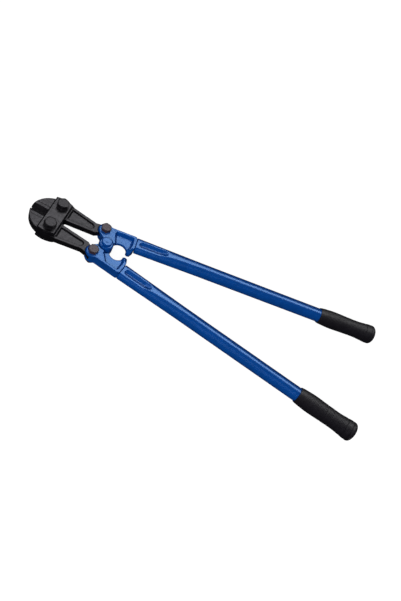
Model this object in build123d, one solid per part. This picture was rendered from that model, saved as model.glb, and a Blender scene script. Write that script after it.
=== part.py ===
from build123d import *
import math
import os

# Bolt cutters, 30 inch class, lying flat. Millimetres.
# The model is laid out about the central handle pivot: +X runs from the head to the grips,
# +Y is the side of the upper handle and Z = 0 is the middle plane of the jaws.
# The finished pieces are then moved so that the origin is the centre of the footprint.

# ---------- driving dimensions: overall layout ----------
HANDLE_ANGLE = 8.94            # each handle's axis to the X axis as the cutter lies
TUBE_OFFSET = 26.9             # a tube's axis to the parallel line through the pivot
JAW_BOLT_X = -105.0
JAW_BOLT_Y = 26.0
HANDLE_BOLT_X = -14.5
HANDLE_BOLT_Y = 29.0
BLADES_APART = 0.35            # how far each jaw is open as the cutter lies, degrees
FIT_GAP = 0.05                 # radial running clearance of a bore on its bolt
FACE_GAP = 0.2                 # clearance between faces that slide past each other

# ---------- driving dimensions: thicknesses, as heights from the middle plane ----------
JAW_HALF = 8.0
ARM_HALF = 6.5
PANEL_HALF = 3.2
PANEL_DRAFT = 14.0
TAIL_HALF = 5.0
PLATE_THICK = 6.5
LUG_HALF = 11.0
WEB_HALF = 3.3
BOSS_TOP = 12.2

# ---------- driving dimensions: jaws ----------
TIP_X = -155.0
TIP_NOTCH = (2.6, 1.4)         # along and across: how much of the tip's corner is rubbed off
BLADE_LAND = 0.6               # half width of the flat left on a cutting edge
EDGE_GAP = 0.15                # cutting edge to the middle line when shut
BEVEL_WIDTH = 9.0
BEVEL_TOP = 7.4
STRIP_END = 15.3               # outer limit of the ground strip beside the bevel
BLADE_HEEL_X = -114.0          # where the ground bevel ends, between the plates
ARM_RIM = 6.2                  # width of the rim around an arm's sunk panel
TAIL_RADIUS = 12.5
JAW_BOLT_D = 14.0
HANDLE_BOLT_D = 12.0

# ---------- driving dimensions: link plates ----------
PLATE_LEFT = -124.0
PLATE_RIGHT = -88.7
PLATE_LEFT_Y = 42.0            # half height of the plate's blade-side edge
PLATE_RIGHT_Y = 39.8
PLATE_CROWN = (-109.0, 44.2)
PLATE_BEVEL = 2.4

# ---------- driving dimensions: handle castings, along and across the handle's own axis ----------
LUG_RADIUS = 14.0
BOSS_RADIUS = 14.2
BOSS_RELIEF = 16.6             # clears the other casting's boss at the open pivot
RIM_OUTER = 40.0
RIM_THICK = 4.6
RIB_LEFT = 48.0
RIB_RIGHT = 53.6
WINDOW_X = 26.2                # the round window between the castings
WINDOW_RADIUS = 14.6
POCKET_DRAFT = 24.0
CLAW_TIP = (45.0, 3.0)
CLAW_TIP_RADIUS = 5.0
CLAW_SLOPE_FROM = 12.0         # the claw thins from here to its tip
CLAW_TIP_HALF = 4.8
TANG_END = 112.0
TANG_HALF_WIDTH = 12.5
TANG_HALF_HEIGHT = 7.8

# ---------- driving dimensions: fasteners ----------
JAW_HEAD_FLATS = 21.0
JAW_HEAD_HEIGHT = 11.3
JAW_NUT_HEIGHT = 5.8
HANDLE_HEAD_FLATS = 18.0
HANDLE_HEAD_HEIGHT = 7.2
HANDLE_NUT_HEIGHT = 6.0
WASHER_THICK = 2.0
WASHER_D = 23.0
RIVET_D = 12.0
RIVET_HEAD_D = 20.0
RIVET_HEAD_HEIGHT = 5.8
RIVET_DIMPLE_D = 3.4
OPEN_PIVOT_D = 15.4            # the lower casting's bore, larger than the rivet on purpose
CENTER_WASHER_D = 25.0
RIVET_TAIL_D = 17.0
RIVET_TAIL_HEIGHT = 2.6

# ---------- driving dimensions: tubes and grips ----------
TUBE_RADIUS = 14.3
TUBE_WALL = 2.4
TUBE_FLAT_HALF_WIDTH = 17.2
TUBE_FLAT_HALF_HEIGHT = 10.6
TUBE_ROUND_FROM = 190.0
TUBE_END = 582.0
FLUTE_START = 60.0
FLUTE_END = 121.0
FLUTE_WIDTH = 13.0
FLUTE_DEPTH = 1.8
GRIP_START = 460.5
GRIP_END = 590.6
GRIP_MOUTH_RADIUS = 15.9
GRIP_SWELL_RADIUS = 18.3
GRIP_WAIST_RADIUS = 17.7
GRIP_FLARE_RADIUS = 20.2

JAW_BOLT_AT = (JAW_BOLT_X, JAW_BOLT_Y)
HANDLE_BOLT_AT = (HANDLE_BOLT_X, HANDLE_BOLT_Y)
PLATE_BOTTOM = JAW_HALF + FACE_GAP
PLATE_TOP = PLATE_BOTTOM + PLATE_THICK
RIM_INNER = RIM_OUTER - RIM_THICK


def on_handle(x, y):
    """A point of the layout in the upper handle's own directions: along it and across it."""
    turn = math.radians(HANDLE_ANGLE)
    along = x * math.cos(turn) + y * math.sin(turn)
    across = y * math.cos(turn) - x * math.sin(turn)
    return (along, across)


LUG_AT = on_handle(*HANDLE_BOLT_AT)


def slab(sketch, bottom, top):
    return extrude(Pos(0, 0, bottom) * sketch, top - bottom)


def disc(radius, center, bottom, top):
    return slab(Pos(*center) * Circle(radius), bottom, top)


def sunk(sketch, top, floor, draft):
    """The cut that sinks a pocket with sloping walls into an upper face."""
    return extrude(Pos(0, 0, top) * sketch, floor - top, taper=draft)


def other_face(cut):
    """The same cut on the underside."""
    return mirror(cut, Plane.XY)


def outline(*edges):
    return make_face(Wire(list(edges)))


def flipped(piece):
    """The lower copy of an upper piece: the same forging turned over about the X axis."""
    return Rot(180, 0, 0) * piece


# ---------- jaws ----------
def blade_edge_y(x):
    return EDGE_GAP + (JAW_BOLT_X - x) * math.tan(math.radians(BLADES_APART))


def jaw_outline():
    """From the tip round the blade's back, along the arm's outside, back along its inside."""
    edge_end = TIP_X + TIP_NOTCH[0]
    edge = (edge_end, blade_edge_y(edge_end))
    tip = (TIP_X, blade_edge_y(TIP_X) + TIP_NOTCH[1])
    shoulder = (PLATE_LEFT, 39.8)
    crown = (-104.0, 44.4)
    outer = [crown, (-94.0, 42.6), (-88.0, 42.5), (-36.0, 34.7), (-26.0, 37.4), HANDLE_BOLT_AT]
    inner = [(-24.0, 17.8), (-30.0, 13.2), (-91.0, 5.2), (JAW_BOLT_X, EDGE_GAP), edge, tip]
    points = outer + inner
    back = ThreePointArc(tip, (-146.6, 23.5), shoulder)
    head = ThreePointArc(shoulder, (-114.5, 43.2), crown)
    sides = [Line(a, b) for a, b in zip(points, points[1:])]
    return outline(back, head, *sides)


def arm_panel_outline():
    """The sunk panel: wide beside the plates, with a round end near the tail."""
    end_radius = 6.0
    end = (-42.0, 23.4)
    left_x = -85.8
    top_left = (left_x, 36.7)
    low_left = (left_x, 12.2)
    top_right = (end[0] + 1.0, end[1] + end_radius)
    low_right = (end[0] - 1.2, end[1] - end_radius)
    return outline(
        Line(low_left, top_left),
        Line(top_left, top_right),
        ThreePointArc(top_right, (end[0] + end_radius, end[1] + 0.5), low_right),
        Line(low_right, low_left),
    )


def blade_grinding():
    """What is ground off one face of a blade: the bevel, then a shallow strip beside it."""
    over = JAW_HALF + 2.0
    profile = [
        (-1.0, BLADE_LAND),
        (0.0, BLADE_LAND),
        (BEVEL_WIDTH, BEVEL_TOP),
        (STRIP_END, BEVEL_TOP),
        (STRIP_END, over),
        (-1.0, over),
    ]
    length = BLADE_HEEL_X - TIP_X + 4.0
    face = make_face(Polyline(*profile, close=True))
    bar = extrude(Plane.YZ * face, length)
    bar = Pos(-length, 0, 0) * bar
    aim = Rot(0, 0, -BLADES_APART)
    return Pos(BLADE_HEEL_X, blade_edge_y(BLADE_HEEL_X), 0) * aim * bar


def build_jaw():
    body = slab(jaw_outline(), -JAW_HALF, JAW_HALF)
    arm_x = PLATE_RIGHT + 1.6
    arm_box = Pos(arm_x + 50, 30, 0) * Box(100, 80, 40)
    thick = slab(jaw_outline(), -ARM_HALF, ARM_HALF)
    body = (body - arm_box) + (thick & arm_box)
    for cut in (sunk(arm_panel_outline(), ARM_HALF, PANEL_HALF, PANEL_DRAFT), blade_grinding()):
        body = body - cut - other_face(cut)
    clear = LUG_RADIUS + 0.6
    body -= disc(clear, HANDLE_BOLT_AT, TAIL_HALF, JAW_HALF + 1)
    body -= disc(clear, HANDLE_BOLT_AT, -JAW_HALF - 1, -TAIL_HALF)
    body += disc(TAIL_RADIUS, HANDLE_BOLT_AT, -TAIL_HALF, TAIL_HALF)
    body -= disc(JAW_BOLT_D / 2 + FIT_GAP, JAW_BOLT_AT, -JAW_HALF, JAW_HALF)
    body -= disc(HANDLE_BOLT_D / 2 + FIT_GAP, HANDLE_BOLT_AT, -TAIL_HALF, TAIL_HALF)
    return body


# ---------- link plates ----------
def build_top_plate():
    left = (PLATE_LEFT, PLATE_LEFT_Y)
    right = (PLATE_RIGHT, PLATE_RIGHT_Y)
    low_left = (PLATE_LEFT, -PLATE_LEFT_Y)
    low_right = (PLATE_RIGHT, -PLATE_RIGHT_Y)
    low_crown = (PLATE_CROWN[0], -PLATE_CROWN[1])
    face = outline(
        ThreePointArc(left, PLATE_CROWN, right),
        Line(right, low_right),
        ThreePointArc(low_right, low_crown, low_left),
        Line(low_left, left),
    )
    plate = slab(face, PLATE_BOTTOM, PLATE_TOP)
    plate = chamfer(plate.faces().sort_by(Axis.Z)[-1].edges(), PLATE_BEVEL)
    for side in (1, -1):
        center = (JAW_BOLT_X, side * JAW_BOLT_Y)
        plate -= disc(JAW_BOLT_D / 2, center, PLATE_BOTTOM, PLATE_TOP)
    return plate


# ---------- fasteners ----------
def hex_body(flats, height, bevel):
    """A hexagon with its corners turned down at the top, standing on Z = 0."""
    across_corners = flats / math.cos(math.radians(30))
    prism = extrude(RegularPolygon(flats / 2, 6, major_radius=False), height)
    turned = Pos(0, 0, height / 2) * Cylinder(across_corners / 2, height)
    turned = chamfer(turned.edges().sort_by(Axis.Z)[-1], bevel * 0.55, bevel)
    return prism & turned


def hex_bolt(center, flats, height, bevel, diameter, seat, end, turn):
    head = Pos(center[0], center[1], seat) * Rot(0, 0, turn) * hex_body(flats, height, bevel)
    return head + disc(diameter / 2, center, end, seat)


def hex_nut(center, flats, height, diameter, seat, turn):
    nut = Rot(180, 0, turn) * hex_body(flats, height, 1.6)
    nut = Pos(center[0], center[1], seat) * nut
    return nut - disc(diameter / 2, center, seat - height, seat)


def build_rivet():
    shank_end = -BOSS_TOP - FACE_GAP - WASHER_THICK
    head = disc(RIVET_HEAD_D / 2, (0, 0), BOSS_TOP, BOSS_TOP + RIVET_HEAD_HEIGHT)
    head = chamfer(head.edges().sort_by(Axis.Z)[-1], 2.0)
    dimple = Pos(0, 0, BOSS_TOP + RIVET_HEAD_HEIGHT) * Sphere(RIVET_DIMPLE_D / 2)
    tail = disc(RIVET_TAIL_D / 2, (0, 0), shank_end - RIVET_TAIL_HEIGHT, shank_end)
    tail = fillet(tail.edges().sort_by(Axis.Z)[0], RIVET_TAIL_HEIGHT * 0.6)
    return head - dimple + disc(RIVET_D / 2, (0, 0), shank_end, BOSS_TOP) + tail


def ring(center, outer_d, inner_d, bottom, top):
    return disc(outer_d / 2, center, bottom, top) - disc(inner_d / 2, center, bottom, top)


# ---------- handle castings, drawn in the upper handle's own directions ----------
def casting_block():
    """The solid end: it carries the handle bolt's lug and runs down to the centre boss."""
    reach = math.hypot(*LUG_AT)
    edge_angle = math.atan2(LUG_AT[1], LUG_AT[0]) + math.asin(LUG_RADIUS / reach)
    edge_length = math.sqrt(reach ** 2 - LUG_RADIUS ** 2)
    touch = (edge_length * math.cos(edge_angle), edge_length * math.sin(edge_angle))
    top = (LUG_AT[0] + 4.0, LUG_AT[1] + LUG_RADIUS - 1.0)
    corners = [(0, 0), touch, LUG_AT, top, (0.0, RIM_OUTER), (9.0, RIM_OUTER)]
    corners += [(9.0, 32.0), (14.8, 7.6), (12.0, 4.0)]
    block = make_face(Polyline(*corners, close=True))
    return block + Pos(*LUG_AT) * Circle(LUG_RADIUS)


def casting_frame():
    """Outer rim, end rib and the wall between them, before the pockets are sunk."""
    corners = [(2.0, RIM_OUTER), (RIB_RIGHT - 3.0, RIM_OUTER), (RIB_RIGHT, RIM_OUTER - 3.0)]
    corners += [(RIB_RIGHT, 14.0), (RIB_LEFT - 4.0, 4.0), (13.0, 3.0), (6.0, 31.0)]
    return make_face(Polyline(*corners, close=True))


def casting_claw():
    """The stop below the end rib: a wide tongue that thins towards its round tip."""
    x, y = CLAW_TIP
    r = CLAW_TIP_RADIUS
    inside = [(RIB_LEFT, 18.0), (RIB_LEFT - 1.2, 11.5), (x - r + 1.4, y + 4.4), (x - r, y)]
    outside = [(x + r, y), (52.2, 8.0), (RIB_RIGHT, 13.0), (RIB_RIGHT, 18.0)]
    face = make_face(Polyline(*inside, *outside, close=True)) + Pos(x, y) * Circle(r)
    tongue = slab(face, -LUG_HALF, LUG_HALF)
    slope = (LUG_HALF - CLAW_TIP_HALF) / (CLAW_SLOPE_FROM - y + r)
    near, far = CLAW_SLOPE_FROM, CLAW_SLOPE_FROM - 20
    over = LUG_HALF + 2
    corners = [(near, LUG_HALF), (far, LUG_HALF - 20 * slope), (far, over), (near, over)]
    wedge = extrude(Plane.YZ.offset(x - 20) * make_face(Polyline(*corners, close=True)), 40)
    return tongue - wedge - other_face(wedge)


def pocket_outline(boss_side):
    """A pocket between block, rim and rib. It runs out over the round window below."""
    if boss_side:
        corners = [(14.9, 8.0), (9.8, 30.5), (12.0, RIM_INNER)]
    else:
        corners = [(5.0, 14.0), (6.5, 21.0), (17.0, 31.5), (20.5, RIM_INNER)]
    corners += [(RIB_LEFT - 2.5, RIM_INNER), (RIB_LEFT, RIM_INNER - 2.5), (RIB_LEFT, 16.0)]
    corners += [(RIB_LEFT - 1.2, 10.5), (RIB_LEFT - 4.4, 5.0), (RIB_LEFT - 5.4, -6.0), (16.0, -6.0)]
    return make_face(Polyline(*corners, close=True))


def jaw_slot():
    """The fork's gap for the jaw's tail, open over the whole swing of the jaw's arm."""
    reach = LUG_RADIUS * 2.2
    corners = [LUG_AT]
    for degrees in (88, 125, 165, 205, 241):
        turn = math.radians(degrees)
        corners.append((LUG_AT[0] + reach * math.cos(turn), LUG_AT[1] + reach * math.sin(turn)))
    fan = make_face(Polyline(*corners, close=True))
    return fan + Pos(*LUG_AT) * Circle(TAIL_RADIUS + 0.8)


def build_casting():
    """The upper casting: its boss is the upper half of the centre lap."""
    window = Pos(WINDOW_X, 0.4) * Circle(WINDOW_RADIUS)
    body = slab(casting_frame() - window, -LUG_HALF, LUG_HALF)
    body += slab(casting_block(), -LUG_HALF, LUG_HALF)
    body -= sunk(pocket_outline(True), LUG_HALF, WEB_HALF, POCKET_DRAFT)
    body -= other_face(sunk(pocket_outline(False), LUG_HALF, WEB_HALF, POCKET_DRAFT))
    body += casting_claw()
    body -= disc(BOSS_RELIEF, (0, 0), -LUG_HALF - 1, FACE_GAP)
    body += disc(BOSS_RADIUS, (0, 0), FACE_GAP, BOSS_TOP)
    body -= slab(jaw_slot(), -TAIL_HALF - FACE_GAP, TAIL_HALF + FACE_GAP)
    tang = Plane.YZ.offset(RIB_RIGHT - 1) * Pos(TUBE_OFFSET, 0) * Ellipse(TANG_HALF_WIDTH, TANG_HALF_HEIGHT)
    body += extrude(tang, TANG_END - RIB_RIGHT + 1)
    return body - disc(HANDLE_BOLT_D / 2, LUG_AT, -LUG_HALF, LUG_HALF)


# ---------- tubes and grips, also in the handle's own directions ----------
def tube_solid(shrink):
    """Outside of the tube, or its bore when shrunk by the wall: flat end, then round."""
    flat = Ellipse(TUBE_FLAT_HALF_WIDTH - shrink, TUBE_FLAT_HALF_HEIGHT - shrink)
    round_end = Circle(TUBE_RADIUS - shrink)
    at = Plane.YZ.offset
    start = at(RIB_RIGHT) * Pos(TUBE_OFFSET, 0) * flat
    middle = at(TUBE_ROUND_FROM) * Pos(TUBE_OFFSET, 0) * round_end
    return loft([start, middle]) + extrude(middle, TUBE_END - TUBE_ROUND_FROM)


def flute_cut():
    """The long crimp on one face of the tube: it follows the tube's slight taper."""
    slope = (TUBE_RADIUS - TUBE_FLAT_HALF_HEIGHT) / (TUBE_ROUND_FROM - RIB_RIGHT)
    middle = (FLUTE_START + FLUTE_END) / 2
    top = TUBE_FLAT_HALF_HEIGHT + slope * (middle - RIB_RIGHT)
    slot = extrude(SlotOverall(FLUTE_END - FLUTE_START, FLUTE_WIDTH), FLUTE_DEPTH * 4)
    slot = Rot(0, -math.degrees(slope), 0) * slot
    return Pos(middle, TUBE_OFFSET, top - FLUTE_DEPTH) * slot


def build_tube():
    flute = flute_cut()
    return tube_solid(0) - tube_solid(TUBE_WALL) - flute - mirror(flute, Plane.XY)


def build_grip():
    """A closed rubber sleeve, turned about the tube's axis."""
    crown = (TUBE_END, GRIP_FLARE_RADIUS)
    side = Spline(
        (GRIP_START, GRIP_MOUTH_RADIUS),
        (GRIP_START + 11, 17.3),
        (GRIP_START + 25, GRIP_SWELL_RADIUS),
        (GRIP_START + 60, 17.9),
        (TUBE_END - 29, GRIP_WAIST_RADIUS),
        (TUBE_END - 12, 19.2),
        crown,
        tangents=[(1, 0.25), (1, 0)],
    )
    rim = (GRIP_END, 14.0)
    end = Spline(crown, (GRIP_END - 2.4, 17.6), rim, tangents=[(1, 0), (0, -1)])
    walls = Polyline(rim, (GRIP_END, 0), (TUBE_END, 0), (TUBE_END, TUBE_RADIUS),
                     (GRIP_START, TUBE_RADIUS), (GRIP_START, GRIP_MOUTH_RADIUS))
    profile = make_face(Curve() + [side, end, walls])
    return Pos(0, TUBE_OFFSET, 0) * revolve(profile, Axis.X)


# ---------- assembly ----------
def in_place(piece):
    """From the upper handle's own directions into the layout."""
    return Rot(0, 0, HANDLE_ANGLE) * piece


def head_pieces():
    plate = build_top_plate()
    pieces = {"top_link_plate": plate, "bottom_link_plate": flipped(plate)}
    for name, side in (("upper", 1), ("lower", -1)):
        center = (JAW_BOLT_X, side * JAW_BOLT_Y)
        pieces[f"{name}_jaw_bolt"] = hex_bolt(
            center, JAW_HEAD_FLATS, JAW_HEAD_HEIGHT, 2.6, JAW_BOLT_D,
            PLATE_TOP, -PLATE_TOP - JAW_NUT_HEIGHT, 12 * side)
        pieces[f"{name}_jaw_nut"] = hex_nut(
            center, JAW_HEAD_FLATS, JAW_NUT_HEIGHT, JAW_BOLT_D, -PLATE_TOP, -9 * side)
    return pieces


def handle_pieces(name, side, turn_over):
    center = (HANDLE_BOLT_X, side * HANDLE_BOLT_Y)
    washer_bottom = -LUG_HALF - WASHER_THICK
    return {
        f"{name}_handle_casting": turn_over(in_place(build_casting())),
        f"{name}_handle_bolt": hex_bolt(
            center, HANDLE_HEAD_FLATS, HANDLE_HEAD_HEIGHT, 2.0, HANDLE_BOLT_D,
            LUG_HALF, washer_bottom - HANDLE_NUT_HEIGHT, 20 * side),
        f"{name}_handle_washer": ring(
            center, WASHER_D, HANDLE_BOLT_D, washer_bottom, -LUG_HALF),
        f"{name}_handle_nut": hex_nut(
            center, HANDLE_HEAD_FLATS, HANDLE_NUT_HEIGHT, HANDLE_BOLT_D, washer_bottom, 5),
        f"{name}_tube": turn_over(in_place(build_tube())),
        f"{name}_grip": turn_over(in_place(build_grip())),
    }


def build_all():
    pieces = head_pieces()
    jaw = build_jaw()
    pieces["upper_jaw"] = jaw
    pieces["lower_jaw"] = flipped(jaw)
    pieces.update(handle_pieces("upper", 1, lambda piece: piece))
    pieces.update(handle_pieces("lower", -1, flipped))
    open_bore = disc(OPEN_PIVOT_D / 2, (0, 0), -BOSS_TOP, BOSS_TOP)
    rivet_bore = disc(RIVET_D / 2, (0, 0), -BOSS_TOP, BOSS_TOP)
    pieces["upper_handle_casting"] -= rivet_bore
    pieces["lower_handle_casting"] -= open_bore
    pieces["center_rivet"] = build_rivet()
    washer_top = -BOSS_TOP - FACE_GAP
    pieces["center_washer"] = ring(
        (0, 0), CENTER_WASHER_D, RIVET_D, washer_top - WASHER_THICK, washer_top)
    return pieces


def write_parts(pieces):
    """Each piece to its own file, with the origin under the middle of the footprint."""
    boxes = [piece.bounding_box() for piece in pieces.values()]
    middle_x = (min(box.min.X for box in boxes) + max(box.max.X for box in boxes)) / 2
    lowest = min(box.min.Z for box in boxes)
    shift = Pos(-middle_x, 0, -lowest)
    os.makedirs("parts", exist_ok=True)
    for node, piece in pieces.items():
        export_step(shift * piece, f"parts/{node}.step")
    print("pivot at", round(-middle_x, 3), 0, round(-lowest, 3))


write_parts(build_all())
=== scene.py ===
"""Bolt cutters lying on a pale floor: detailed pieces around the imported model."""
import math

import bpy
import numpy as np
from mathutils import Matrix, Vector, noise


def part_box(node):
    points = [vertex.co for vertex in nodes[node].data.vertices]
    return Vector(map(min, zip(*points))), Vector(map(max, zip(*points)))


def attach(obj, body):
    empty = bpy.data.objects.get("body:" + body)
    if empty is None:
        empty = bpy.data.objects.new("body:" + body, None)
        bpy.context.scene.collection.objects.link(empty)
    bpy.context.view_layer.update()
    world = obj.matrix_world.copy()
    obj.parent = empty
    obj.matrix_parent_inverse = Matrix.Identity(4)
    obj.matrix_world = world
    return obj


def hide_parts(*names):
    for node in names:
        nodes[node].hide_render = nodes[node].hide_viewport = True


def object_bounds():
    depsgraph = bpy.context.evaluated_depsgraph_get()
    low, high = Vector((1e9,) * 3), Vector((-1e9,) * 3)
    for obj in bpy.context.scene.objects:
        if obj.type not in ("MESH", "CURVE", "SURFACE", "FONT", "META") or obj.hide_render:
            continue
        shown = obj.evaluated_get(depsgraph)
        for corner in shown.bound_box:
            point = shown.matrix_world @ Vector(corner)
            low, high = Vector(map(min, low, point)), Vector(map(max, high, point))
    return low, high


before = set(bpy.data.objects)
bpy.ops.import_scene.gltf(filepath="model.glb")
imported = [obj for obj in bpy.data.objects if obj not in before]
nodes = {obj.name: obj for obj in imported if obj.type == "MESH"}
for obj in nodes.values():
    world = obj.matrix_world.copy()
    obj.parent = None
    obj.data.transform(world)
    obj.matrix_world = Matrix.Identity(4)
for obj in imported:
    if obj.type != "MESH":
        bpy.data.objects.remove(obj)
cad_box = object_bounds()
MM = 0.001

# ---------- where things are: millimetres from the centre pivot, in the jaws' middle plane ----------
SIDES = {"upper": 1, "lower": -1}
HANDLE_ANGLE = math.radians(8.94)
TUBE_OFFSET = 26.9


def middle_of(node):
    low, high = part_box(node)
    return (low + high) / 2


rivet_middle = middle_of("center_rivet")
PIVOT = np.array([rivet_middle.x, rivet_middle.y, middle_of("upper_jaw").z])


def offset_from_pivot(node):
    """A node's middle across the tool, in millimetres from the pivot."""
    middle = middle_of(node)
    return ((middle.x - PIVOT[0]) / MM, (middle.y - PIVOT[1]) / MM)


def heights(node):
    low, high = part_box(node)
    return ((low.z - PIVOT[2]) / MM, (high.z - PIVOT[2]) / MM)


def to_frame(points):
    """From millimetres about the pivot to the row frame's metres."""
    return np.asarray(points, float) * MM + PIVOT


def from_frame(points):
    return (np.asarray(points, float) - PIVOT) / MM


def turned(points, angle):
    """Points turned about the pivot's upright axis."""
    points = np.array(points, float)
    x, y = points[..., 0].copy(), points[..., 1].copy()
    points[..., 0] = x * math.cos(angle) - y * math.sin(angle)
    points[..., 1] = x * math.sin(angle) + y * math.cos(angle)
    return points


def flipped(points):
    """The lower copy: turned over about the X axis."""
    return np.array(points, float) * np.array([1, -1, -1])


def handle_to_tool(points, side):
    points = turned(points, HANDLE_ANGLE)
    return flipped(points) if side < 0 else points


def tool_to_handle(points, side):
    points = flipped(points) if side < 0 else np.array(points, float)
    return turned(points, -HANDLE_ANGLE)


def smoothstep(low, high, value):
    t = np.clip((value - low) / (high - low), 0, 1)
    return t * t * (3 - 2 * t)


# ---------- mesh building ----------
def finish_mesh(name, mesh, material, body, replaced, sharp=35.0):
    piece = bpy.data.objects.new(name, mesh)
    bpy.context.scene.collection.objects.link(piece)
    mesh.materials.clear()
    mesh.materials.append(material)
    mesh.shade_smooth()
    if sharp:
        mesh.set_sharp_from_angle(angle=math.radians(sharp))
    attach(piece, body)
    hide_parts(*replaced)
    return piece


def skin(name, rings, shut="fans"):
    """A closed mesh through rings of equal count.

    Each end is shut by a fan, or with "loop" the last ring meets the first.
    """
    rings = [np.asarray(ring, float) for ring in rings]
    count = len(rings[0])
    points = [tuple(p) for ring in rings for p in ring]
    faces = []
    last = len(rings) - 1
    joined = shut == "loop"
    for i in range(len(rings) if joined else last):
        a, b = i * count, ((i + 1) % len(rings)) * count
        for j in range(count):
            k = (j + 1) % count
            faces.append((a + j, a + k, b + k, b + j))
    if not joined:
        for row, order in ((0, -1), (last, 1)):
            pole = len(points)
            points.append(tuple(rings[row].mean(axis=0)))
            for j in range(count):
                k = (j + 1) % count
                corner = (row * count + j, row * count + k)
                faces.append((corner[0], corner[1], pole)[::order])
    mesh = bpy.data.meshes.new(name)
    mesh.from_pydata(points, [], faces)
    mesh.validate()
    outward(mesh)
    return mesh


def outward(mesh):
    """Turns the faces over if the mesh is inside out."""
    mesh.calc_loop_triangles()
    co = np.zeros(len(mesh.vertices) * 3)
    mesh.vertices.foreach_get("co", co)
    co = co.reshape(-1, 3)
    tri = np.zeros(len(mesh.loop_triangles) * 3, int)
    mesh.loop_triangles.foreach_get("vertices", tri)
    a, b, c = (co[tri.reshape(-1, 3)[:, i]] for i in range(3))
    if np.einsum("ij,ij->", a - co.mean(axis=0), np.cross(b - a, c - a)) < 0:
        mesh.flip_normals()
    mesh.update()


def circle(radius, z, center=(0, 0), steps=96, phase=0.0):
    """One ring about an upright axis; radius and z may be numbers or functions of the angle."""
    angle = np.arange(steps) * 2 * math.pi / steps
    r = radius(angle - phase) if callable(radius) else np.full(steps, float(radius))
    flat = np.full(steps, float(z)) if not callable(z) else z(angle - phase)
    return np.stack([center[0] + r * np.cos(angle), center[1] + r * np.sin(angle), flat], axis=1)


def eased(profile, ease, steps=3):
    """A profile with each corner cut by a small round. Its ends stay."""
    points = [np.array(p, float) for p in profile]
    out = [points[0]]
    for before, corner, after in zip(points, points[1:], points[2:]):
        back, ahead = before - corner, after - corner
        reach = min(ease, np.linalg.norm(back) * 0.45, np.linalg.norm(ahead) * 0.45)
        start = corner + back / np.linalg.norm(back) * reach
        end = corner + ahead / np.linalg.norm(ahead) * reach
        for i in range(steps + 1):
            t = i / steps
            out.append((1 - t) ** 2 * start + 2 * t * (1 - t) * corner + t * t * end)
    return out + [points[-1]]


# ---------- copies of CAD pieces with rolled edges ----------
def point_array(mesh):
    co = np.zeros(len(mesh.vertices) * 3)
    mesh.vertices.foreach_get("co", co)
    return co.reshape(-1, 3)


def set_points(mesh, points):
    mesh.vertices.foreach_set("co", np.asarray(points, np.float32).ravel())
    mesh.update()


def normal_array(mesh):
    normals = np.zeros(len(mesh.vertices) * 3)
    mesh.vertices.foreach_get("normal", normals)
    return normals.reshape(-1, 3)


def voxel_copy(node, voxel, turn=0.0):
    """The CAD node's shape as an even skin of small quads, in a new mesh, on a grid turned by an angle."""
    source = bpy.data.objects.new(node + "_remesh", nodes[node].data.copy())
    source.data.transform(Matrix.Rotation(-turn, 4, "Z"))
    bpy.context.scene.collection.objects.link(source)
    modifier = source.modifiers.new("voxels", "REMESH")
    modifier.mode = "VOXEL"
    modifier.voxel_size = voxel * MM
    depsgraph = bpy.context.evaluated_depsgraph_get()
    mesh = bpy.data.meshes.new_from_object(source.evaluated_get(depsgraph))
    bpy.data.objects.remove(source)
    mesh.transform(Matrix.Rotation(turn, 4, "Z"))
    return mesh


def relax(mesh, rounds, weight=None):
    """Rounds the mesh's edges: each point moves to its neighbours' mean, by its weight, again and again."""
    edges = np.zeros(len(mesh.edges) * 2, int)
    mesh.edges.foreach_get("vertices", edges)
    a, b = edges.reshape(-1, 2).T
    points = point_array(mesh)
    count = np.bincount(a, minlength=len(points)) + np.bincount(b, minlength=len(points))
    share = 0.5 if weight is None else 0.5 * weight[:, None]
    for _ in range(rounds):
        total = np.zeros_like(points)
        for axis in range(3):
            total[:, axis] += np.bincount(a, points[b, axis], len(points))
            total[:, axis] += np.bincount(b, points[a, axis], len(points))
        points = points + (total / count[:, None] - points) * share
    set_points(mesh, points)


def roughen(mesh, height, size, seed):
    """A forging's slight unevenness, along the normals."""
    points, normals = point_array(mesh), normal_array(mesh)
    shift = Vector((seed * 7.3, seed * 3.1, seed * 5.7))
    scaled = points / (size * MM)
    bumps = np.array([noise.noise(Vector(p) + shift) for p in scaled])
    set_points(mesh, points + normals * (bumps * height * MM)[:, None])


def roll_rim(points, center, radius, top, fillet, direction=1, arc=None):
    """Rolls a round boss's edge over: points near the rim move onto a quarter round."""
    dx, dy = points[:, 0] - center[0], points[:, 1] - center[1]
    across = np.hypot(dx, dy)
    height = points[:, 2] * direction
    inside = (across > radius - fillet) & (across < radius + 0.7) & (height > top - fillet)
    inside &= height < top + 0.6
    if arc:
        bearing = np.degrees(np.arctan2(dy, dx)) % 360
        inside &= (bearing > arc[0]) & (bearing < arc[1])
    out, up = across - (radius - fillet), height - (top - fillet)
    length = np.maximum(np.hypot(out, up), 1e-6)
    scale = np.where(inside, np.minimum(1, fillet / length), 1)
    new_across = (radius - fillet) + out * scale
    ratio = np.where(inside, new_across / np.maximum(across, 1e-6), 1)
    moved = points.copy()
    moved[:, 0] = center[0] + dx * ratio
    moved[:, 1] = center[1] + dy * ratio
    moved[:, 2] = np.where(inside, (top - fillet + up * scale) * direction, points[:, 2])
    return moved


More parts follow.
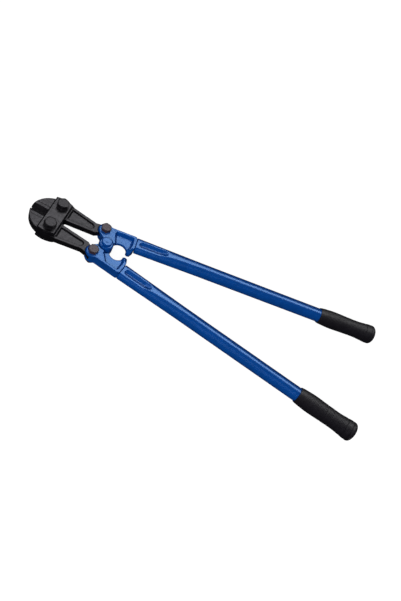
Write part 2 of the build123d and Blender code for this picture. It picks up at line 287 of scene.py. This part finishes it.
# ---------- materials ----------
class Nodes:
    """One procedural material on a Principled shader."""

    def __init__(self, name, color, **sockets):
        self.material = bpy.data.materials.new(name)
        self.material.use_nodes = True
        self.tree = self.material.node_tree
        self.shader = self.tree.nodes["Principled BSDF"]
        self.shader.inputs["Base Color"].default_value = (*color, 1)
        for socket, value in sockets.items():
            self.shader.inputs[socket.replace("_", " ")].default_value = value
        self.coords = self.tree.nodes.new("ShaderNodeTexCoord").outputs["Object"]

    def node(self, kind, **values):
        made = self.tree.nodes.new("ShaderNode" + kind)
        for key, value in values.items():
            setattr(made, key, value)
        return made

    def link(self, source, target):
        self.tree.links.new(source, target)

    def noise(self, size, detail=3.0, roughness=0.55, stretch=(1, 1, 1)):
        """Noise whose grain is about size millimetres, from 0 to 1."""
        mapping = self.node("Mapping")
        mapping.inputs["Scale"].default_value = tuple(s / (size * MM) for s in stretch)
        texture = self.node("TexNoise")
        texture.inputs["Scale"].default_value = 1.0
        texture.inputs["Detail"].default_value = detail
        texture.inputs["Roughness"].default_value = roughness
        self.link(self.coords, mapping.inputs["Vector"])
        self.link(mapping.outputs["Vector"], texture.inputs["Vector"])
        return texture.outputs["Fac"]

    def edges(self, low, high):
        """Nearly 1 on outside edges, 0 elsewhere."""
        geometry = self.node("NewGeometry")
        return self.between(geometry.outputs["Pointiness"], low, high, 0, 1)

    def corners(self, low, high):
        """Nearly 1 in inside corners, 0 elsewhere: where shade is painted."""
        geometry = self.node("NewGeometry")
        return self.between(geometry.outputs["Pointiness"], low, high, 1, 0)

    def between(self, value, low, high, start, end):
        span = self.node("MapRange")
        for socket, number in zip(("From Min", "From Max", "To Min", "To Max"), (low, high, start, end)):
            span.inputs[socket].default_value = number
        self.link(value, span.inputs["Value"])
        return span.outputs["Result"]

    def ramp(self, value, stops):
        ramp = self.node("ValToRGB")
        elements = ramp.color_ramp.elements
        while len(elements) < len(stops):
            elements.new(0.5)
        for element, (place, color) in zip(elements, stops):
            element.position = place
            element.color = (*color, 1)
        self.link(value, ramp.inputs["Fac"])
        return ramp.outputs["Color"]

    def mix(self, factor, first, second):
        mixed = self.node("Mix", data_type="RGBA")
        self.link(factor, mixed.inputs["Factor"])
        for value, socket in ((first, mixed.inputs[6]), (second, mixed.inputs[7])):
            if isinstance(value, tuple):
                socket.default_value = (*value, 1)
            else:
                self.link(value, socket)
        return mixed.outputs[2]

    def product(self, first, second):
        times = self.node("Math", operation="MULTIPLY")
        self.link(first, times.inputs[0])
        self.link(second, times.inputs[1])
        return times.outputs[0]

    def bump(self, *layers):
        """Each layer is a height source, its depth in millimetres and its strength."""
        before = None
        for source, depth, strength in layers:
            bump = self.node("Bump")
            bump.inputs["Distance"].default_value = depth * MM
            bump.inputs["Strength"].default_value = strength
            self.link(source, bump.inputs["Height"])
            if before:
                self.link(before, bump.inputs["Normal"])
            before = bump.outputs["Normal"]
        self.link(before, self.shader.inputs["Normal"])

    def drive(self, socket, source):
        self.link(source, self.shader.inputs[socket])


def toned(color, factor):
    return tuple(c * factor for c in color)


def enamel(name, deep, light, roughness, uneven):
    """Thick glossy paint: slightly uneven, with a painted highlight along the edges and painted shade in
    the inside corners.
    """
    m = Nodes(name, deep, Specular_IOR_Level=0.8, IOR=1.5, Specular_Tint=(0.29, 0.57, 1.0, 1.0))
    tone = m.ramp(m.noise(11.0, 2.0), [(0.3, toned(deep, 0.92)), (0.7, toned(deep, 1.1))])
    # painted highlight: outside edges take the paler edge colour
    edge_highlighted = m.mix(m.edges(0.53, 0.60), tone, light)
    # painted shade: inside corners are darkened to 0.45 of the paint's colour
    m.drive("Base Color", m.mix(m.corners(0.40, 0.485), edge_highlighted, toned(deep, 0.45)))
    m.drive("Roughness", m.between(m.noise(26.0, 1.0), 0.3, 0.7, roughness - 0.01, roughness + 0.015))
    m.bump((m.noise(7.0, 2.0), uneven, 0.6))
    return m.material


def oxide_steel(name, base, wear_and_sheen, roughness, grain=0.9):
    """Blackened forged steel: pitted scale, lighter along its edges from wear and a painted highlight, with
    painted shade in the inside corners.
    """
    m = Nodes(name, base, Metallic=0.0, Specular_IOR_Level=0.32, Specular_Tint=(0.95, 0.93, 1.0, 1.0))
    tone = m.ramp(m.noise(grain * 4, 5.0, 0.65), [(0.32, toned(base, 0.6)), (0.68, toned(base, 1.3))])
    # edges lighter in patches: partly wear, partly a painted highlight
    wear_and_sheen_mask = m.product(m.edges(0.52, 0.58), m.between(m.noise(2.4, 3.0), 0.35, 0.6, 0.45, 1.0))
    wear_and_sheen_tone = m.mix(wear_and_sheen_mask, tone, wear_and_sheen)
    # painted shade: inside corners are darkened to a quarter of the steel's colour
    m.drive("Base Color", m.mix(m.corners(0.40, 0.475), wear_and_sheen_tone, toned(base, 0.25)))
    m.drive("Roughness", m.between(m.noise(grain * 5, 3.0), 0.3, 0.7, roughness - 0.05, roughness + 0.06))
    m.bump((m.noise(grain * 5, 3.0, 0.6), 0.22, 0.6), (m.noise(grain * 1.6, 2.0), 0.06, 0.4))
    return m.material


def rubber(name, base):
    """Moulded rubber: fine satin grain with slight greying."""
    m = Nodes(name, base, Specular_IOR_Level=0.37)
    tone = m.ramp(m.noise(7.0, 4.0), [(0.3, toned(base, 0.8)), (0.75, toned(base, 1.3))])
    m.drive("Base Color", tone)
    m.drive("Roughness", m.between(m.noise(2.0, 3.0), 0.3, 0.7, 0.47, 0.60))
    m.bump((m.noise(0.55, 2.0), 0.06, 0.5), (m.noise(3.0, 2.0), 0.12, 0.25))
    return m.material


ENAMEL = (0.002, 0.062, 0.31)
# paler blue painted along the edges as a highlight
ENAMEL_EDGE_HIGHLIGHT = (0.006, 0.095, 0.40)
FORGED_BLACK = (0.0040, 0.0036, 0.0050)
# lighter edge colour: part wear, part painted highlight
FORGED_WEAR_AND_SHEEN = (0.042, 0.040, 0.048)
BOLT_BLACK = (0.0038, 0.0034, 0.0046)
# lighter edge colour: part wear, part painted highlight
BOLT_WEAR_AND_SHEEN = (0.040, 0.038, 0.045)
BOLT_BROWN = (0.036, 0.021, 0.028)
# lighter edge colour: part wear, part painted highlight
BROWN_WEAR_AND_SHEEN = (0.10, 0.075, 0.09)
RUBBER = (0.0088, 0.0078, 0.0112)

finishes = {
    "tube_enamel": enamel("tube_enamel", ENAMEL, ENAMEL_EDGE_HIGHLIGHT, 0.24, 0.02),
    "casting_enamel": enamel("casting_enamel", ENAMEL, ENAMEL_EDGE_HIGHLIGHT, 0.28, 0.09),
    "jaw_steel": oxide_steel("jaw_steel", FORGED_BLACK, FORGED_WEAR_AND_SHEEN, 0.40),
    "plate_steel": oxide_steel("plate_steel", FORGED_BLACK, FORGED_WEAR_AND_SHEEN, 0.38),
    "head_hardware": oxide_steel("head_hardware", BOLT_BLACK, BOLT_WEAR_AND_SHEEN, 0.42, 0.6),
    "handle_hardware": oxide_steel("handle_hardware", BOLT_BROWN, BROWN_WEAR_AND_SHEEN, 0.38, 0.6),
    "grip_rubber": rubber("grip_rubber", RUBBER),
}

# ---------- tubes ----------
TUBE_START = 54.4
TUBE_END = 582.0
TUBE_RADIUS = 14.3
TUBE_WALL = 2.4
TUBE_ROUND_FROM = 190.0
FLAT_HALF_WIDTH = 17.1
FLAT_CROWN = 11.9              # half height the section would have without its pressed flats
FACETS = ((54.0, 10.2), (106.0, 10.0), (122.0, 5.2), (135.0, 3.9), (145.0, 3.1), (156.0, 2.7), (185.0, 2.1),
          (215.0, 0.0))
FLUTE = (60.0, 121.0, 6.6)     # start, end, half width
FLUTE_DEPTH = 3.7
FLUTE_ROUND = 0.18             # how round the flute's bottom is
FLUTE_RUN_OUT = 24.0           # the flute grows shallower over this length, to FLUTE_SHALLOW of its depth
FLUTE_SHALLOW = 0.4
TUBE_STEPS = 192
CROWDING = 0.19                # gathers a ring's points near the flats
END_ROLL = 1.1                 # radius of the tube's rolled end


def flute_shape(x, y):
    """How far the pressed flute sinks the flat at a point: a trough with sloping sides."""
    start, end, half = FLUTE
    reach = np.clip(x, start + half, end - half)
    out = np.hypot(x - reach, y) / half
    rise = np.sqrt(out ** 2 + FLUTE_ROUND ** 2) - FLUTE_ROUND
    rise /= math.sqrt(1 + FLUTE_ROUND ** 2) - FLUTE_ROUND
    full = smoothstep(end, end - FLUTE_RUN_OUT, x)
    depth = FLUTE_DEPTH * (FLUTE_SHALLOW + (1 - FLUTE_SHALLOW) * full)
    return -depth * (1 - np.minimum(rise, 1))


def tube_ring(x, shrink, steps):
    """The tube's section at x: an oval with pressed flats that turns round further along."""
    t = float(np.clip((x - TUBE_START) / (TUBE_ROUND_FROM - TUBE_START), 0, 1))
    half_width = FLAT_HALF_WIDTH + (TUBE_RADIUS - FLAT_HALF_WIDTH) * t - shrink
    crown = FLAT_CROWN + (TUBE_RADIUS - FLAT_CROWN) * t - shrink
    facet = float(np.interp(x, *zip(*FACETS)))
    flat = crown * math.sqrt(1 - (facet / half_width) ** 2) + (0.6 if facet < 0.01 else 0)
    angle = np.arange(steps) * 2 * math.pi / steps
    even = angle - CROWDING * np.sin(2 * angle)
    y, z = half_width * np.cos(even), crown * np.sin(even)
    ease = min(0.4, 0.1 + (crown - flat) * 0.35) if facet > 0.01 else 0.05
    rise = np.abs(z)
    pressed = flat - ease * np.log1p(np.exp(np.clip((flat - rise) / ease, -30, 30)))
    rise = np.where(rise > flat - 4 * ease, pressed, rise)
    on_top = smoothstep(flat - 3.0, flat - 1.2, rise)
    dent = flute_shape(np.full(steps, x), y) * on_top
    if shrink:
        dent = dent * 0.9
    return np.stack([np.full(steps, x), TUBE_OFFSET + y, np.sign(z) * (rise + dent)], axis=1)


def tube_stations():
    """Places along the tube: close at the rolled end and the flute, wide along the plain length."""
    rolled = [TUBE_START + d for d in (0.0, 0.15, 0.5, 1.0, 1.8, 3.0)]
    fine = list(np.arange(TUBE_START + 4.0, 136.0, 0.8))
    fading = list(np.arange(136.0, 222.0, 2.0))
    plain = list(np.linspace(222.0, TUBE_END, 26))
    return rolled + fine + fading + plain


def build_tube(name, side):
    rings = []
    for x in tube_stations():
        ring = tube_ring(x, 0.0, TUBE_STEPS)
        short = max(0.0, 1 - (x - TUBE_START) / END_ROLL)
        roll = END_ROLL * (1 - math.sqrt(max(0.0, 1 - short ** 2)))
        center = np.array([x, TUBE_OFFSET, 0])
        radial = ring - center
        length = np.linalg.norm(radial, axis=1)[:, None]
        rings.append(center + radial * (1 - roll / length))
    inner = [TUBE_END, 400.0, 222.0, 195.0, 170.0, 150.0]
    inner += [*np.arange(134.0, 58.0, -2.0), TUBE_START]
    rings += [tube_ring(x, TUBE_WALL, TUBE_STEPS) for x in inner]
    rings = [to_frame(handle_to_tool(ring, side)) for ring in rings]
    mesh = skin(name, rings, "loop")
    return finish_mesh(name, mesh, finishes["tube_enamel"], name.split("_")[0] + "_handle",
                       [name.replace("_sleeve", "")])


# ---------- grips ----------
GRIP_START = 460.5
GRIP_PROFILE = [(0.0, 15.9), (4.0, 16.6), (11.0, 17.3), (25.0, 18.3), (60.0, 17.9), (92.5, 17.7),
                (109.5, 19.15), (121.5, 19.95), (124.2, 19.75)]
GRIP_NOSE = [(125.6, 19.3), (127.2, 18.2), (128.6, 16.5), (129.6, 14.6), (130.05, 12.6), (130.05, 6.0)]
RIB_PITCH = 2.9
RIB_DEPTH = 0.45
PAD_DEPTH = 0.28
RIBBED = (11.0, 106.0)
GRIP_RINGS = ((62.0, 0.6), (76.0, 0.6), (107.5, 1.3), (119.6, 1.6))
PADS_AROUND = 40
GRIP_BORE_END = 121.5
GRIP_STEPS = 160


def grip_radius(along):
    """The sleeve's outline, a smooth curve through its stations."""
    xs = np.array([p[0] for p in GRIP_PROFILE])
    rs = np.array([p[1] for p in GRIP_PROFILE])
    slope = np.gradient(rs, xs)
    i = int(np.clip(np.searchsorted(xs, along) - 1, 0, len(xs) - 2))
    span = xs[i + 1] - xs[i]
    t = (along - xs[i]) / span
    a, b = rs[i], rs[i + 1]
    return ((2 * t ** 3 - 3 * t ** 2 + 1) * a + (t ** 3 - 2 * t ** 2 + t) * span * slope[i]
            + (-2 * t ** 3 + 3 * t ** 2) * b + (t ** 3 - t ** 2) * span * slope[i + 1])


def grip_tread(along, angle):
    """Fine ribs broken into short pads, and the deeper ring grooves."""
    start, end = RIBBED
    within = smoothstep(start, start + 3, along) * smoothstep(end, end - 3, along)
    wave = 0.5 + 0.5 * math.cos(2 * math.pi * along / RIB_PITCH)
    groove = RIB_DEPTH * wave ** 2 * within
    row = int(along / RIB_PITCH)
    split = 0.5 + 0.5 * np.cos(PADS_AROUND * angle + math.pi * (row % 2))
    pads = PAD_DEPTH * split ** 4 * within * (1 - wave)
    rings = sum(depth * math.exp(-((along - at) ** 2)) for at, depth in GRIP_RINGS)
    return -(groove + rings) - pads


def build_grip(name, side):
    angle = np.arange(GRIP_STEPS) * 2 * math.pi / GRIP_STEPS
    rings = []

    def ring(along, radius):
        points = [np.full(GRIP_STEPS, GRIP_START + along), TUBE_OFFSET + radius * np.cos(angle)]
        rings.append(np.stack([*points, radius * np.sin(angle)], axis=1))

    inner = TUBE_RADIUS + 0.05
    bore = [(GRIP_BORE_END, inner), (60.0, inner), (1.0, inner), (0.3, inner + 0.2), (0.0, inner + 0.6)]
    lip = [(0.0, 15.2), (0.15, 15.7)]
    for along, radius in bore + lip:
        ring(along, np.full(GRIP_STEPS, radius))
    for along in np.arange(0.6, GRIP_PROFILE[-1][0], 0.42):
        ring(along, grip_radius(along) + grip_tread(along, angle))
    for along, radius in GRIP_NOSE:
        ring(along, np.full(GRIP_STEPS, radius))
    rings = [to_frame(handle_to_tool(r, side)) for r in rings]
    mesh = skin(name, rings)
    return finish_mesh(name, mesh, finishes["grip_rubber"], name.split("_")[0] + "_handle",
                       [name.replace("_cover", "")], sharp=50.0)


# ---------- bolts, nuts, washers, rivet ----------
BOLT_STEPS = 144
CHAMFER_SLOPE = 0.55           # how fast a hexagon head's turned corners fall away
SHANK_PLAY = 0.3
JAW_BOLT = {"flats": 21.0, "bevel": 2.6, "diameter": 14.0, "seat": 14.7}
HANDLE_BOLT = {"flats": 18.0, "bevel": 2.0, "diameter": 12.0, "seat": 11.0}
NUT_BEVEL = 1.6
WASHER_BORE = 6.0
HANDLE_WASHER_RADIUS = 11.5
RIVET_WASHER_RADIUS = 12.5


def hexagon(flats):
    """Distance from the axis to a hexagon's side, with slightly eased corners."""
    def radius(angle):
        total = sum(np.maximum(0, np.cos(angle - k * math.pi / 3)) ** 60 for k in range(6))
        return flats / 2 * total ** (-1 / 60)
    return radius


def hex_rings(flats, bevel, face, seat, center, phase):
    """From the turned face of a hexagon head to its seat. Works either way up."""
    direction = 1 if face > seat else -1
    sides = hexagon(flats)
    disc = flats / math.sqrt(3) - bevel

    def ring(radius, z):
        return circle(radius, z, center, BOLT_STEPS, phase)

    def sloping(part, drop=0.0):
        """A ring part of the way from the disc to the sides, on the chamfer or a drop below it."""
        def radius(angle):
            return disc + (sides(angle) - disc) * part

        def height(angle):
            below = (radius(angle) - disc) * CHAMFER_SLOPE + drop
            return face - direction * np.maximum(below, 0)
        return ring(radius, height)

    rings = [ring(disc - 0.5, face), ring(disc - 0.12, face - 0.05 * direction)]
    rings.append(ring(disc + 0.15, face - 0.2 * direction))
    rings += [sloping(part) for part in (0.35, 0.7, 0.93)]
    rings += [sloping(1.0, drop) for drop in (0.12, 0.45)]
    rings.append(ring(sides, seat + 0.4 * direction))
    rings.append(ring(lambda a: sides(a) - 0.35, seat))
    return rings


def build_bolt(name, node, bolt, phase, finish, body):
    low, high = heights(node)
    center = offset_from_pivot(node)
    flats, seat = bolt["flats"], bolt["seat"]
    rings = [circle(flats * r, high, center, BOLT_STEPS, phase) for r in (0.08, 0.2, 0.32)]
    rings += hex_rings(flats, bolt["bevel"], high, seat, center, phase)
    shank = bolt["diameter"] / 2 - SHANK_PLAY
    end = [(shank, seat), (shank, low + 1.2), (shank - 1.0, low + 0.1), (shank - 1.6, low)]
    rings += [circle(radius, z, center, BOLT_STEPS) for radius, z in end]
    mesh = skin(name, [to_frame(r) for r in rings])
    return finish_mesh(name, mesh, finishes[finish], body, [node], sharp=28.0)


def build_nut(name, node, bolt, phase, finish, body):
    low, high = heights(node)
    center = offset_from_pivot(node)
    bore = bolt["diameter"] / 2
    rings = [circle(bore + 1.2, low, center, BOLT_STEPS)]
    rings += hex_rings(bolt["flats"], NUT_BEVEL, low, high, center, phase)
    hole = [(bore, high), (bore, low + 0.9), (bore + 0.9, low)]
    rings += [circle(radius, z, center, BOLT_STEPS) for radius, z in hole]
    mesh = skin(name, [to_frame(r) for r in rings], "loop")
    return finish_mesh(name, mesh, finishes[finish], body, [node], sharp=28.0)


def build_lathe(name, node, profile, finish, body, shut="fans"):
    """A turned piece about the node's own upright axis; the profile is (radius, height)."""
    center = offset_from_pivot(node)
    rings = [circle(r, z, center, 128) for r, z in profile]
    mesh = skin(name, [to_frame(r) for r in rings], shut)
    return finish_mesh(name, mesh, finishes[finish], body, [node])


def washer_profile(outer, node):
    low, high = heights(node)
    middle = (WASHER_BORE, (low + high) / 2)
    corners = [(WASHER_BORE, high), (outer, high), (outer, low), (WASHER_BORE, low)]
    return eased([middle, *corners, middle], 0.45)[:-1]


def rivet_profile():
    """From the slightly dished top round the head and down the shank to the spread tail."""
    low, high = heights("center_rivet")
    boss, tail = 12.2, low + 2.6
    dish = [(0.3, high - 0.32), (1.2, high - 0.29), (2.4, high - 0.20), (3.8, high - 0.08), (5.0, high)]
    head = [(5.6, high), (8.6, high), (9.7, high - 1.1), (10.0, high - 2.3), (10.0, boss)]
    shank = [(6.0, boss), (6.0, tail)]
    foot = [(8.5, tail), (8.5, tail - 1.0), (7.6, low + 0.5), (5.6, low), (2.0, low)]
    return dish + eased(head, 0.9, 5) + shank + foot


def build_hardware():
    for name, side in SIDES.items():
        body = name + "_handle"
        build_bolt(name + "_jaw_pin", name + "_jaw_bolt", JAW_BOLT, math.radians(12 * side),
                   "head_hardware", "head")
        build_nut(name + "_jaw_pin_nut", name + "_jaw_nut", JAW_BOLT, math.radians(-9 * side),
                  "head_hardware", "head")
        build_bolt(name + "_handle_pin", name + "_handle_bolt", HANDLE_BOLT, math.radians(20 * side),
                   "handle_hardware", body)
        build_nut(name + "_handle_pin_nut", name + "_handle_nut", HANDLE_BOLT, math.radians(5),
                  "handle_hardware", body)
        washer = name + "_handle_washer"
        build_lathe(name + "_flat_washer", washer, washer_profile(HANDLE_WASHER_RADIUS, washer),
                    "handle_hardware", body, "loop")
    build_lathe("pivot_washer", "center_washer", washer_profile(RIVET_WASHER_RADIUS, "center_washer"),
                "casting_enamel", "upper_handle", "loop")
    build_lathe("pivot_rivet", "center_rivet", rivet_profile(), "casting_enamel", "upper_handle")


# ---------- castings, jaws and plates ----------
LUG_AT = tuple(turned([(-14.5, 29.0, 0.0)], -HANDLE_ANGLE)[0][:2])
CASTING_VOXEL = 0.45
LUG = {"radius": 14.0, "top": 11.0, "fillet": 3.8}
LUG_ARC = (72, 224)            # the free part of the lug's rim, in degrees
BOSS = {"radius": 14.2, "top": 12.2, "fillet": 3.7}
TANG_FROM = (55.0, 58.5)       # the hidden tang is flattened past here, to clear the flutes
TANG_FLATTENED = 0.55


def build_casting(name, side):
    node = name + "_handle_casting"
    mesh = voxel_copy(node, CASTING_VOXEL, HANDLE_ANGLE * side)
    points = tool_to_handle(from_frame(point_array(mesh)), side)
    for direction in (1, -1):
        points = roll_rim(points, LUG_AT, **LUG, direction=direction, arc=LUG_ARC)
    points = roll_rim(points, (0, 0), **BOSS)
    points[:, 2] *= 1 - TANG_FLATTENED * smoothstep(*TANG_FROM, points[:, 0])
    set_points(mesh, to_frame(handle_to_tool(points, side)))
    relax(mesh, 12)
    claw = smoothstep(13.0, 8.0, points[:, 1]) * smoothstep(34.0, 38.0, points[:, 0])
    relax(mesh, 16, claw)
    roughen(mesh, 0.10, 6.0, 3 if side > 0 else 4)
    return finish_mesh(name + "_casting", mesh, finishes["casting_enamel"], name + "_handle",
                       [node], sharp=None)


FORGING_VOXEL = 0.40
FLASH_RIDGE = 0.5              # height of the parting ridge along the arms' sides
BLADE_LAND = 0.7               # half height of a cutting edge
BLADE_HEEL_X = -113.0
BLADE_TOE_X = -152.0
BLADES_APART = math.radians(0.35)
MOUTH_ROOT = (-105.0, 0.15)    # where the cutting edges' line starts, between the plates


def hone(points):
    """Brings the cutting edge back to its line after the edges were rounded."""
    root_x, root_y = MOUTH_ROOT
    edge = root_y + (root_x - points[:, 0]) * math.tan(BLADES_APART)
    near = (points[:, 0] > BLADE_TOE_X) & (points[:, 0] < BLADE_HEEL_X)
    near &= (np.abs(points[:, 2]) < BLADE_LAND + 0.4) & (points[:, 1] < edge + 0.8)
    honed = points.copy()
    honed[:, 1] = np.where(near, edge, points[:, 1])
    return honed


def build_jaw(name, side):
    node = name + "_jaw"
    mesh = voxel_copy(node, FORGING_VOXEL)

    def local():
        tool = from_frame(point_array(mesh))
        return flipped(tool) if side < 0 else tool

    points = local()
    ground = smoothstep(-108.0, -116.0, points[:, 0]) * smoothstep(19.0, 15.0, points[:, 1])
    relax(mesh, 10, 1 - 0.85 * ground)
    points = local()
    normals = normal_array(mesh)
    upright = 1 - np.abs(normals[:, 2])
    arm = smoothstep(-90.0, -84.0, points[:, 0]) * smoothstep(-24.0, -30.0, points[:, 0])
    ridge = FLASH_RIDGE * np.exp(-((points[:, 2] / 0.9) ** 2)) * upright * arm
    set_points(mesh, point_array(mesh) + normals * (ridge * MM)[:, None])
    roughen(mesh, 0.16, 5.0, 1 if side > 0 else 2)
    points = hone(local())
    set_points(mesh, to_frame(flipped(points) if side < 0 else points))
    return finish_mesh(name + "_blade", mesh, finishes["jaw_steel"], node, [node], sharp=None)


def build_plate(name, node, seed):
    mesh = voxel_copy(node, FORGING_VOXEL)
    relax(mesh, 8)
    roughen(mesh, 0.12, 6.0, seed)
    return finish_mesh(name, mesh, finishes["plate_steel"], "head", [node], sharp=None)


for name, side in SIDES.items():
    build_casting(name, side)
    build_jaw(name, side)
    build_tube(name + "_tube_sleeve", side)
    build_grip(name + "_grip_cover", side)
build_plate("top_plate", "top_link_plate", 5)
build_plate("bottom_plate", "bottom_link_plate", 6)
build_hardware()


# ---------- floor, backdrop, lights: metres ----------
FLOOR_REACH = 5.0
FLOOR_DROP = 0.0003
DOME_RADIUS = 7.5


def white(name, glow, color):
    material = bpy.data.materials.new(name)
    material.use_nodes = True
    shader = material.node_tree.nodes["Principled BSDF"]
    shader.inputs["Base Color"].default_value = (color, color, color, 1)
    shader.inputs["Roughness"].default_value = 1.0
    shader.inputs["Specular IOR Level"].default_value = 0.0
    shader.inputs["Emission Color"].default_value = (1, 1, 1, 1)
    shader.inputs["Emission Strength"].default_value = glow
    return material


def unseen_by_object(thing):
    """The object neither reflects nor is lit by the stage."""
    thing.visible_diffuse = False
    thing.visible_glossy = False
    thing.visible_transmission = False
    thing.visible_shadow = False


def build_stage():
    reach = FLOOR_REACH
    corners = [(-reach, -reach), (reach, -reach), (reach, reach), (-reach, reach)]
    mesh = bpy.data.meshes.new("floor")
    mesh.from_pydata([(x, y, -FLOOR_DROP) for x, y in corners], [], [(0, 1, 2, 3)])
    floor = bpy.data.objects.new("floor", mesh)
    mesh.materials.append(white("floor_paper", 0.94, 0.25))
    angles = np.linspace(0, math.pi, 25)
    rings = [circle(DOME_RADIUS * math.sin(a), DOME_RADIUS * math.cos(a), steps=48) for a in angles[1:-1]]
    dome = bpy.data.objects.new("backdrop", skin("backdrop", rings))
    dome.data.materials.append(white("backdrop_paper", 1.0, 0.0))
    for thing in (floor, dome):
        bpy.context.scene.collection.objects.link(thing)
        unseen_by_object(thing)


def area_light(name, bearing, elevation, distance, size, power, glossy=True, diffuse=True):
    """A soft box aimed at the object's middle. Bearing is from +X towards +Y, in degrees."""
    low, high = cad_box
    target = (low + high) / 2
    b, e = math.radians(bearing), math.radians(elevation)
    back = Vector((math.cos(b) * math.cos(e), math.sin(b) * math.cos(e), math.sin(e)))
    light = bpy.data.lights.new(name, "AREA")
    light.shape = "RECTANGLE"
    light.size, light.size_y = size
    light.energy = power
    lamp = bpy.data.objects.new(name, light)
    bpy.context.scene.collection.objects.link(lamp)
    lamp.location = target + back * distance
    lamp.rotation_mode = "QUATERNION"
    lamp.rotation_quaternion = (-back).to_track_quat("-Z", "Y")
    lamp.visible_camera = False
    lamp.visible_glossy = glossy
    lamp.visible_diffuse = diffuse
    return lamp


def build_lights():
    area_light("shine", bearing=84, elevation=61, distance=2.2, size=(2.6, 0.95), power=47, diffuse=False)
    area_light("key", bearing=84, elevation=60, distance=2.2, size=(2.6, 1.2), power=13, glossy=False)
    area_light("fill", bearing=-98, elevation=38, distance=2.4, size=(2.4, 1.6), power=46, glossy=False)
    area_light("edge", bearing=172, elevation=50, distance=2.2, size=(1.8, 0.6), power=8, diffuse=False)
    area_light("side", bearing=160, elevation=35, distance=2.2, size=(1.2, 1.2), power=3, glossy=False)
    world = bpy.data.worlds.new("studio")
    world.use_nodes = True
    background = world.node_tree.nodes["Background"]
    background.inputs["Color"].default_value = (0.93, 0.96, 1.0, 1)
    background.inputs["Strength"].default_value = 0.03
    bpy.context.scene.world = world
    bpy.context.scene.view_settings.view_transform = "Standard"


# ---------- camera ----------
CAMERA_AZIMUTH = -11.65
CAMERA_ELEVATION = 53.99
CAMERA_ROLL = 37.13
CAMERA_DISTANCE = 1138.0
CAMERA_TARGET = (209.3, -8.8, 0.0)
CAMERA_LENS = 35.176


def build_camera():
    azimuth, elevation, roll = (math.radians(a) for a in (CAMERA_AZIMUTH, CAMERA_ELEVATION, CAMERA_ROLL))
    back = Vector((math.sin(azimuth) * math.cos(elevation), -math.cos(azimuth) * math.cos(elevation),
                   math.sin(elevation)))
    right = Vector((math.cos(azimuth), math.sin(azimuth), 0))
    up = back.cross(right)
    across = math.cos(roll) * right + math.sin(roll) * up
    along = -math.sin(roll) * right + math.cos(roll) * up
    data = bpy.data.cameras.new("camera")
    data.lens = CAMERA_LENS
    data.sensor_width = 36.0
    data.clip_start, data.clip_end = 0.05, 50.0
    camera = bpy.data.objects.new("camera", data)
    bpy.context.scene.collection.objects.link(camera)
    axes = Matrix((across, along, back)).transposed().to_4x4()
    axes.translation = Vector(to_frame(CAMERA_TARGET)) + back * CAMERA_DISTANCE * MM
    camera.matrix_world = axes
    bpy.context.scene.camera = camera


build_stage()
build_lights()
build_camera()

bpy.context.view_layer.update()
